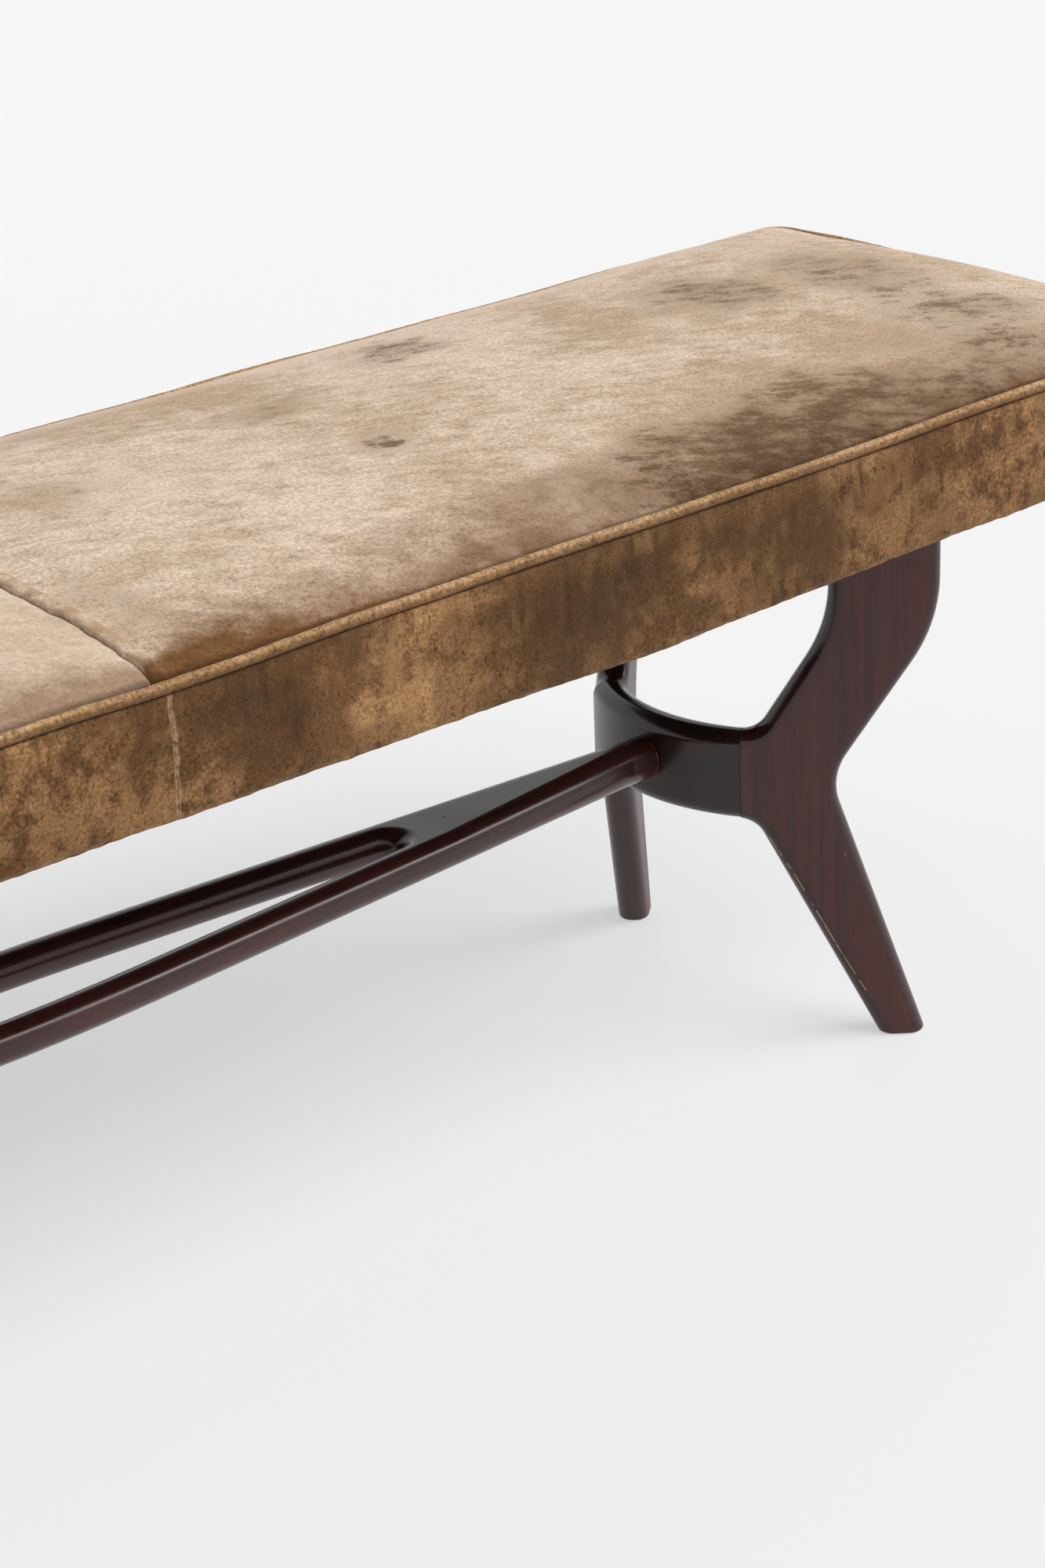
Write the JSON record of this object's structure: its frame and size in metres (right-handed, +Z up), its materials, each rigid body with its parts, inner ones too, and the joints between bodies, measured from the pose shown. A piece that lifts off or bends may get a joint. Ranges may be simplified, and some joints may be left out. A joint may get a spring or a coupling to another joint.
{
  "type": "upholstered bench",
  "caption": "Long upholstered bench: crowned velvet seat with piping on K-shaped dark wood legs, joined in pairs by curved yokes and along its length by a forked stretcher.",
  "frame": {"origin": "on the floor under the middle of the seat", "axes": "+X along the bench, -Y towards the front, +Z up"},
  "size_m": [1.68, 0.405, 0.4623],
  "materials": {
    "polished_wood": "very dark red-brown wood under a glossy hand-rubbed polish",
    "dowel_wood": "plain turned dowel",
    "frame_wood": "sawn, unfinished",
    "velvet": "worn tan-brown pile with bruised darker patches",
    "stuffing": "stuffed pad in plain calico",
    "webbing": "woven jute",
    "hessian": "plain woven jute cloth",
    "dust_cloth": "thin black cotton",
    "steel": "plain steel"
  },
  "bodies": {
    "root": {"leg_front_right": "polished_wood", "leg_rear_right": "polished_wood", "leg_front_left": "polished_wood", "leg_rear_left": "polished_wood", "yoke_front_right": "polished_wood", "yoke_rear_right": "polished_wood", "yoke_front_left": "polished_wood", "yoke_rear_left": "polished_wood", "stretcher": "polished_wood", "leg_dowels": "dowel_wood", "yoke_dowels": "dowel_wood", "frame_dowels": "dowel_wood", "leg_screws": "steel", "front_rail": "frame_wood", "rear_rail": "frame_wood", "right_end_rail": "frame_wood", "left_end_rail": "frame_wood", "bearer_right": "frame_wood", "bearer_left": "frame_wood", "centre_cross_rail": "frame_wood", "corner_blocks": "frame_wood", "webbing_crosswise": "webbing", "webbing_lengthwise": "webbing", "hessian_sheet": "hessian", "seat_pad": "stuffing", "dust_cover": "dust_cloth", "band_front_right": "velvet", "band_front_left": "velvet", "band_rear_right": "velvet", "band_rear_left": "velvet", "band_end_right": "velvet", "band_end_left": "velvet", "piping": "velvet", "cover_top_right": "velvet", "cover_top_left": "velvet"}
  },
  "joints": []
}
